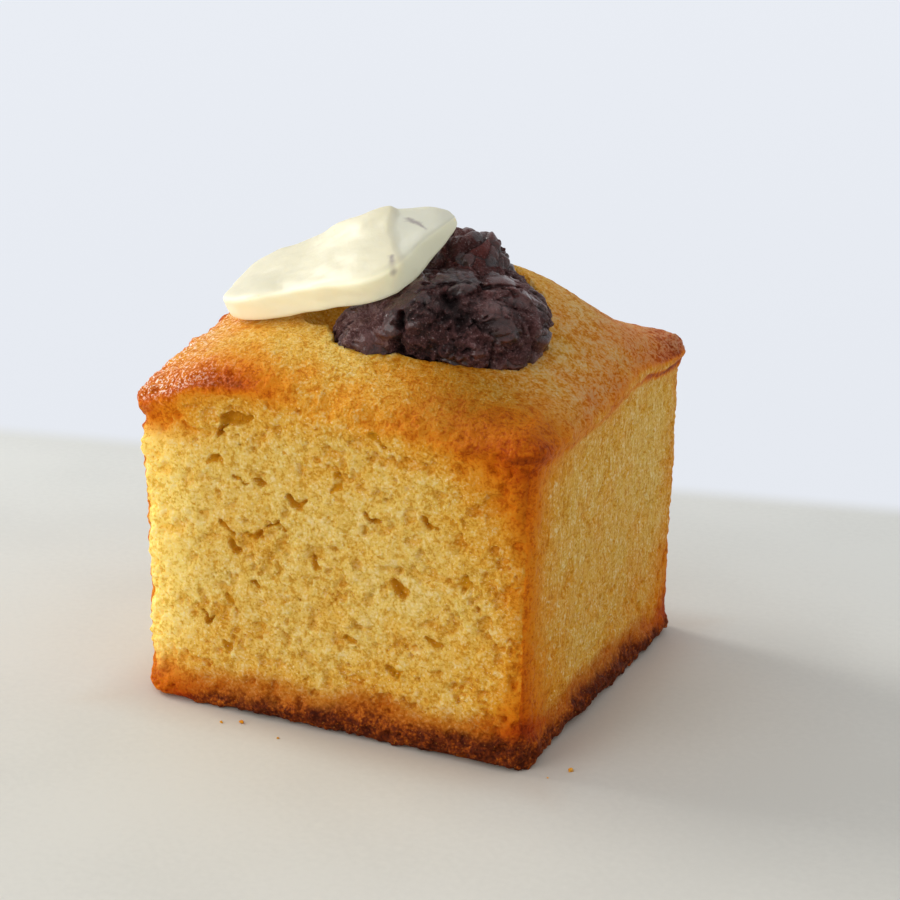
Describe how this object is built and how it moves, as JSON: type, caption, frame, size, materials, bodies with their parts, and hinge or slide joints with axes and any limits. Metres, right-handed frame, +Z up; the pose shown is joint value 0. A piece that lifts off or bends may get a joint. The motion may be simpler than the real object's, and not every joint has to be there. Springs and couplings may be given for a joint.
{
  "type": "butter cake",
  "caption": "Small square-sided butter cake with a domed browned top, a mound of sweet red bean paste set into it and a slab of butter leaning on the mound.",
  "frame": {"origin": "middle of the outline on the flat base, so the cake stands on the XY plane", "axes": "+Z up, -Y towards the face seen at the left of the picture (the front), +X towards the face seen at its right"},
  "size_m": [0.0519, 0.0513, 0.0595],
  "materials": {
    "baked_cake": "open crumb on the sides, browned grainy crust on the top and edges, matte",
    "red_bean_paste": "coarse mash with moist, slightly shiny bean skins",
    "butter": "smooth, satin, slightly see-through at thin edges"
  },
  "bodies": {
    "root": {"cake": "baked_cake", "bean_paste": "red_bean_paste", "butter_slab": "butter"}
  },
  "joints": []
}
